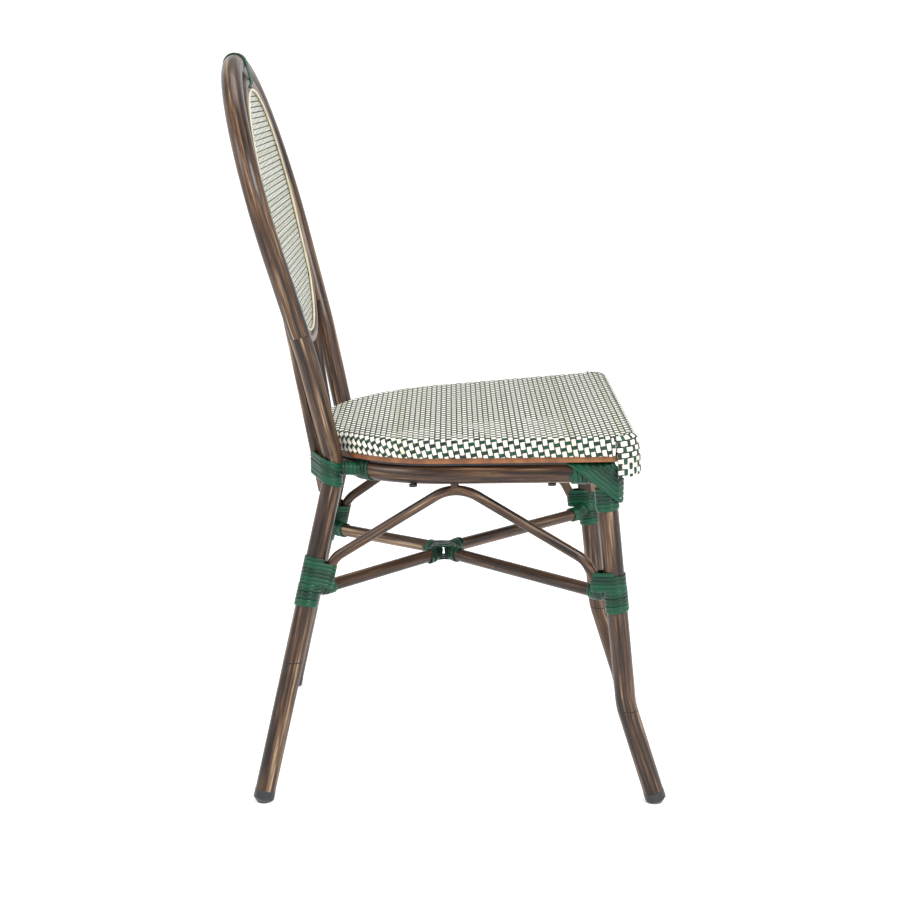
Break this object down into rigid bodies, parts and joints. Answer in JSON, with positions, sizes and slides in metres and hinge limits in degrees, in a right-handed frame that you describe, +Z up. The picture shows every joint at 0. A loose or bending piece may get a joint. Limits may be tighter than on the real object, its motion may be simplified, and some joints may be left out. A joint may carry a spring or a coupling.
{
  "type": "stacking chair",
  "caption": "Stacking bistro chair with bent tube frame bound with flat cord, round leaning back and tapered seat in two-colour plastic weave.",
  "frame": {"origin": "on the floor, under the middle of the chair's overall width and depth", "axes": "+Z up, the sitter faces -Y, +X to the sitter's left"},
  "size_m": [0.4458, 0.5432, 0.8964],
  "materials": {
    "bamboo_tube": "glossy baked-on bamboo print over aluminium tube",
    "green_cord": "flat woven-look polyethylene cord, glossy",
    "seat_cloth": "plain weave of flat cream and green polyethylene strands",
    "back_cloth": "plain weave of flat cream and green polyethylene strands",
    "welt_cord": "extruded cream cord",
    "base_strip": "moulded brown strip, satin",
    "black_plastic": "moulded black, satin",
    "alloy": "mill finish",
    "screw_steel": "bright zinc plated"
  },
  "bodies": {
    "root": {"back_bottom_rail": "bamboo_tube", "back_hoop": "bamboo_tube", "back_weave": "back_cloth", "back_welt": "welt_cord", "brace_welds": "bamboo_tube", "centre_binding": "green_cord", "front_bow": "bamboo_tube", "front_foot_left": "black_plastic", "front_foot_right": "black_plastic", "front_leg_left": "bamboo_tube", "front_leg_right": "bamboo_tube", "hoop_spigot_left": "alloy", "hoop_spigot_right": "alloy", "hoop_tie": "green_cord", "inner_hoop": "bamboo_tube", "knee_spacers": "alloy", "lower_front_binding_left": "green_cord", "lower_front_binding_right": "green_cord", "lower_rear_binding_left": "green_cord", "lower_rear_binding_right": "green_cord", "rear_bow": "bamboo_tube", "rear_foot_left": "black_plastic", "rear_foot_right": "black_plastic", "rear_leg_left": "bamboo_tube", "rear_leg_right": "bamboo_tube", "seat_cross_bars": "alloy", "seat_frame": "alloy", "seat_gasket": "black_plastic", "seat_rim": "base_strip", "seat_ring": "bamboo_tube", "seat_screws": "screw_steel", "seat_weave": "seat_cloth", "side_brace_left": "bamboo_tube", "side_brace_right": "bamboo_tube", "upper_front_binding_left": "green_cord", "upper_front_binding_right": "green_cord", "upper_rear_binding_left": "green_cord", "upper_rear_binding_right": "green_cord"}
  },
  "joints": []
}
